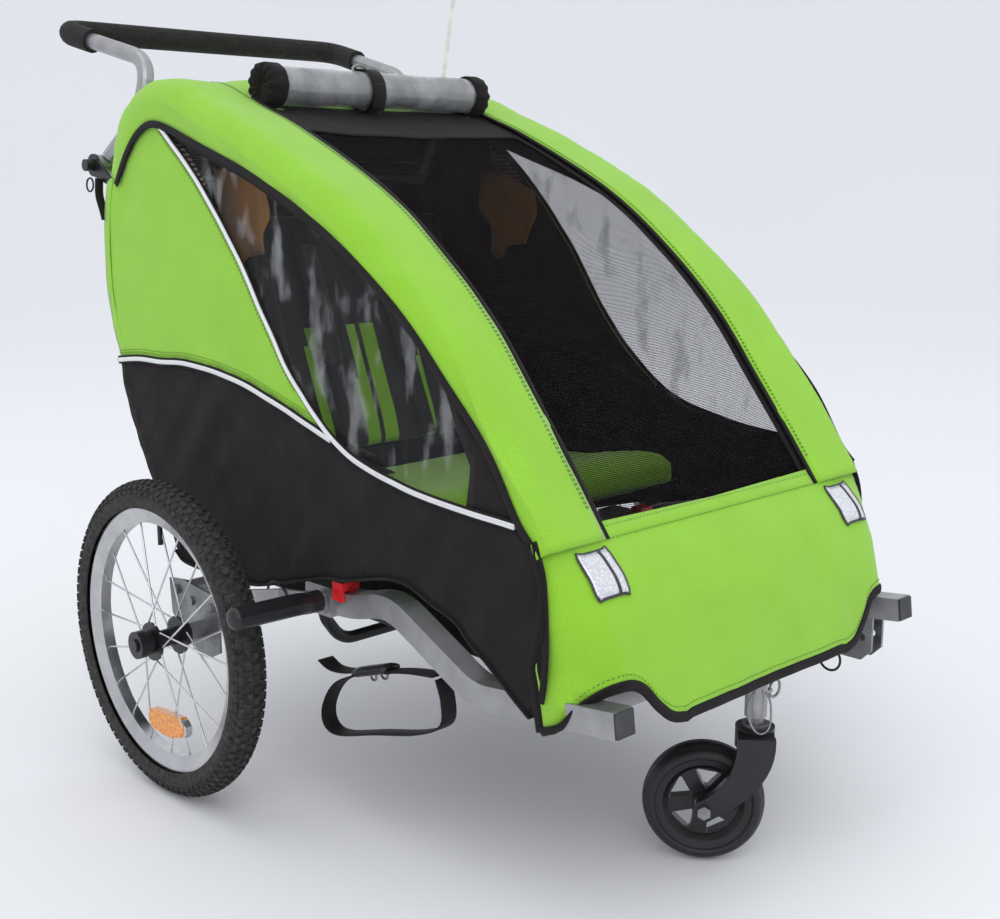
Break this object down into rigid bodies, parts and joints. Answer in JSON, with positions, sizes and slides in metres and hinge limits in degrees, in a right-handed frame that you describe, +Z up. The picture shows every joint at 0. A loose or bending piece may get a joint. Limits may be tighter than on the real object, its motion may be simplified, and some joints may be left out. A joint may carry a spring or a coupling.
{
  "type": "child bicycle trailer",
  "caption": "Child bicycle trailer in stroller form with a fabric cabin on a folding tube frame, spoked wheels, a front swivel caster and a folding push handle.",
  "frame": {"origin": "middle of the footprint at ground level", "axes": "-Y is the direction of travel, +X is the rider's left, +Z is up"},
  "size_m": [0.844, 1.1067, 1.701],
  "materials": {
    "rail_steel": "satin silver paint",
    "black_steel": "satin black paint",
    "zinc": "zinc plated",
    "polished_alloy": "polished",
    "spoke_steel": "stainless, with an amber reflector",
    "black_plastic": "moulded",
    "red_plastic": "moulded",
    "grey_plastic": "moulded",
    "tyre_rubber": "treaded rubber",
    "foam": "closed-cell foam",
    "green_fabric": "woven polyester",
    "black_fabric": "woven polyester",
    "mesh_fabric": "open mesh",
    "clear_vinyl": "clear PVC film",
    "reflective": "reflective sheeting",
    "webbing": "webbing with plastic and steel fittings",
    "pennant": "thin polyester",
    "pole_plastic": "fibreglass"
  },
  "bodies": {
    "root": {"side_rail_left": "rail_steel", "side_rail_right": "rail_steel", "rear_stays": "rail_steel", "rail_end_plugs": "grey_plastic", "front_cross_tube": "rail_steel", "rear_cross_tube": "black_steel", "wheel_guards": "black_steel", "axle_plate_left": "zinc", "axle_plate_right": "zinc", "frame_bolts": "zinc", "axle_left": "black_plastic", "axle_right": "black_plastic", "hitch_bracket": "zinc", "floor_board": "black_plastic", "caster_receiver": "rail_steel", "side_panel_left": "black_fabric", "side_panel_right": "black_fabric", "side_windows": "clear_vinyl", "front_cover": "green_fabric", "front_screen": "mesh_fabric", "rear_panel": "green_fabric", "seat_back": "black_fabric", "seat_base": "green_fabric", "harness": "webbing", "front_reflectors": "reflective", "tie_strap": "webbing"},
    "rail_button_left": {"rail_button_left": "red_plastic"},
    "rail_button_right": {"rail_button_right": "red_plastic"},
    "axle_button_left": {"axle_button_left": "black_plastic"},
    "axle_button_right": {"axle_button_right": "black_plastic"},
    "hitch_pin": {"hitch_pin": "black_steel"},
    "wheel_left": {"tyre_left": "tyre_rubber", "rim_left": "polished_alloy", "spokes_left": "spoke_steel", "hub_left": "black_plastic"},
    "wheel_right": {"tyre_right": "tyre_rubber", "rim_right": "polished_alloy", "spokes_right": "spoke_steel", "hub_right": "black_plastic"},
    "caster": {"caster_stem": "zinc", "caster_fork": "black_plastic", "caster_bolt": "zinc"},
    "caster_wheel": {"caster_wheel": "black_plastic", "caster_tyre": "tyre_rubber"},
    "caster_lock_pin": {"caster_lock_pin": "zinc"},
    "canopy": {"canopy_arch_left": "rail_steel", "canopy_arch_right": "rail_steel", "canopy_rear_tube": "rail_steel", "arch_feet": "zinc", "canopy_band_left": "green_fabric", "canopy_band_right": "green_fabric", "rain_cover_roll": "clear_vinyl", "roll_caps": "black_fabric", "roll_strap": "webbing", "flag_pole": "pole_plastic", "flag_pennant": "pennant", "handle_clamps": "black_plastic"},
    "strut_frame": {"strut_frame": "rail_steel"},
    "handle": {"handlebar": "rail_steel", "handle_grip": "foam"}
  },
  "joints": [
    {"name": "wheel_left_spin", "type": "hinge", "parent": "root", "child": "wheel_left", "pos_m": [0.375, 0.10225, 0.2], "axis": [1, 0, 0], "continuous": true},
    {"name": "wheel_right_spin", "type": "hinge", "parent": "root", "child": "wheel_right", "pos_m": [-0.375, 0.10225, 0.2], "axis": [1, 0, 0], "continuous": true},
    {"name": "caster_swivel", "type": "hinge", "parent": "root", "child": "caster", "pos_m": [0, -0.51775, 0.2], "axis": [0, 0, 1], "continuous": true},
    {"name": "caster_spin", "type": "hinge", "parent": "caster", "child": "caster_wheel", "pos_m": [-0.03461, -0.47501, 0.069], "axis": [0.7771, 0.6293, 0], "continuous": true},
    {"name": "canopy_fold", "type": "hinge", "parent": "root", "child": "canopy", "pos_m": [0, -0.44275, 0.276], "axis": [1, 0, 0], "range_deg": [-24, 0], "deforming": ["side_panel_left", "side_panel_right", "side_windows", "front_cover", "front_screen", "rear_panel", "seat_back", "seat_base", "harness", "front_reflectors"]},
    {"name": "strut_fold", "type": "hinge", "parent": "root", "child": "strut_frame", "pos_m": [0, 0.15725, 0.24], "axis": [1, 0, 0], "range_deg": [0, 92]},
    {"name": "handle_fold", "type": "hinge", "parent": "canopy", "child": "handle", "pos_m": [0, 0.39225, 0.778], "axis": [1, 0, 0], "range_deg": [-100, 0]},
    {"name": "rail_button_left_press", "type": "slide", "parent": "root", "child": "rail_button_left", "axis": [0, 0, 1], "range_m": [-0.003, 0], "stiffness_N_per_m": 800, "springref_m": 0.002},
    {"name": "rail_button_right_press", "type": "slide", "parent": "root", "child": "rail_button_right", "axis": [0, 0, 1], "range_m": [-0.003, 0], "stiffness_N_per_m": 800, "springref_m": 0.002},
    {"name": "axle_button_left_press", "type": "slide", "parent": "root", "child": "axle_button_left", "axis": [1, 0, 0], "range_m": [-0.003, 0], "stiffness_N_per_m": 600, "springref_m": 0.002},
    {"name": "axle_button_right_press", "type": "slide", "parent": "root", "child": "axle_button_right", "axis": [1, 0, 0], "range_m": [0, 0.003], "stiffness_N_per_m": 600, "springref_m": -0.002},
    {"name": "hitch_pin_pull", "type": "slide", "parent": "root", "child": "hitch_pin", "axis": [1, 0, 0], "range_m": [-0.05, 0]},
    {"name": "caster_lock_pull", "type": "slide", "parent": "root", "child": "caster_lock_pin", "axis": [1, 0, 0], "range_m": [0, 0.006], "stiffness_N_per_m": 500, "springref_m": -0.004}
  ],
  "couplings": [
    {"joint": "strut_fold", "follows": "canopy_fold", "ratio": -3.8333}
  ]
}
